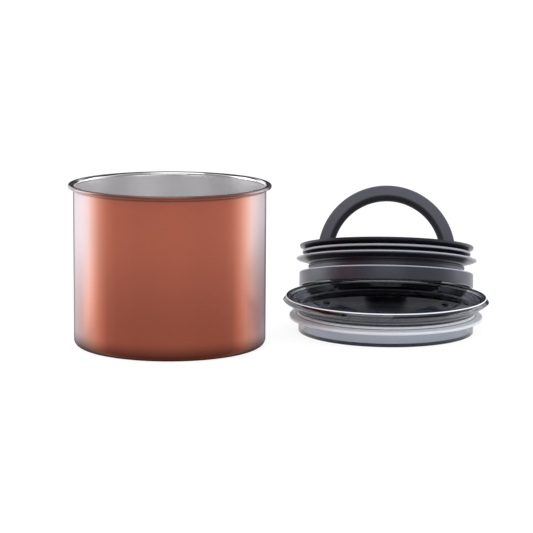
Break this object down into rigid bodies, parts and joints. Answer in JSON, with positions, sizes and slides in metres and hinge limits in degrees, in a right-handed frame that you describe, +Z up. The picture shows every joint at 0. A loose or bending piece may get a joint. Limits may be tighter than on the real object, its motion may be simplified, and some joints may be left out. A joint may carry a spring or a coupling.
{
  "type": "coffee canister",
  "caption": "Steel coffee canister with a rolled rim, a clear push-in outer lid with a gasket, and a press-down inner lid with a cam-worked air valve and a folding handle.",
  "frame": {"origin": "centre of the canister's flat base, on the table that it stands on", "axes": "+Z up along the canister's axis, +Y away from the viewer, +X towards the two lids that lie beside it"},
  "size_m": [0.2692, 0.2512, 0.1016],
  "materials": {
    "copper_steel": "steel, coated copper outside under a satin clear lacquer, bare satin steel inside and on the rim's top",
    "clear_plastic": "polished clear plastic",
    "clear_silicone": "milky translucent silicone",
    "black_plastic": "satin moulded black plastic",
    "black_silicone": "smooth black silicone, satin",
    "grey_plastic": "matte dark grey plastic with a fine moulded texture",
    "pale_plastic": "natural acetal, satin",
    "steel": "stainless steel, satin"
  },
  "bodies": {
    "canister": {"canister_shell": "copper_steel"},
    "clear_lid": {"outer_lid": "clear_plastic", "outer_lid_gasket": "clear_silicone"},
    "inner_lid": {"inner_lid_cup": "black_plastic", "guide_ring": "black_plastic", "ring_screws": "steel", "wiper_gasket": "black_silicone", "bearing_cap_left": "black_plastic", "bearing_cap_right": "black_plastic", "bearing_screws": "steel", "valve_guide": "pale_plastic", "valve_guard": "black_plastic", "spring_washer": "steel", "valve_spring": "steel"},
    "bail": {"handle": "grey_plastic", "handle_pins": "steel", "cam_axle": "steel"},
    "valve": {"valve_stem": "steel", "valve_follower": "pale_plastic", "valve_disc": "pale_plastic", "valve_seal": "clear_silicone", "valve_nut": "steel"}
  },
  "joints": [
    {"name": "outer_lid_lift", "type": "slide", "parent": "canister", "child": "clear_lid", "axis": [0, 0, 1], "range_m": [0, 0.03]},
    {"name": "inner_lid_press", "type": "slide", "parent": "clear_lid", "child": "inner_lid", "axis": [0.0135, 0.2585, 0.9659], "range_m": [0, 0.07]},
    {"name": "handle_fold", "type": "hinge", "parent": "inner_lid", "child": "bail", "pos_m": [0.14281, 0.12878, 0.03731], "axis": [0.9986, -0.0523, 0], "range_deg": [0, 90]},
    {"name": "valve_lift", "type": "slide", "parent": "inner_lid", "child": "valve", "axis": [0.0135, 0.2585, 0.9659], "range_m": [0, 0.0015], "deforming": ["valve_spring"]}
  ],
  "couplings": [
    {"joint": "valve_lift", "follows": "handle_fold", "m_per_rad": 0.00095493}
  ]
}
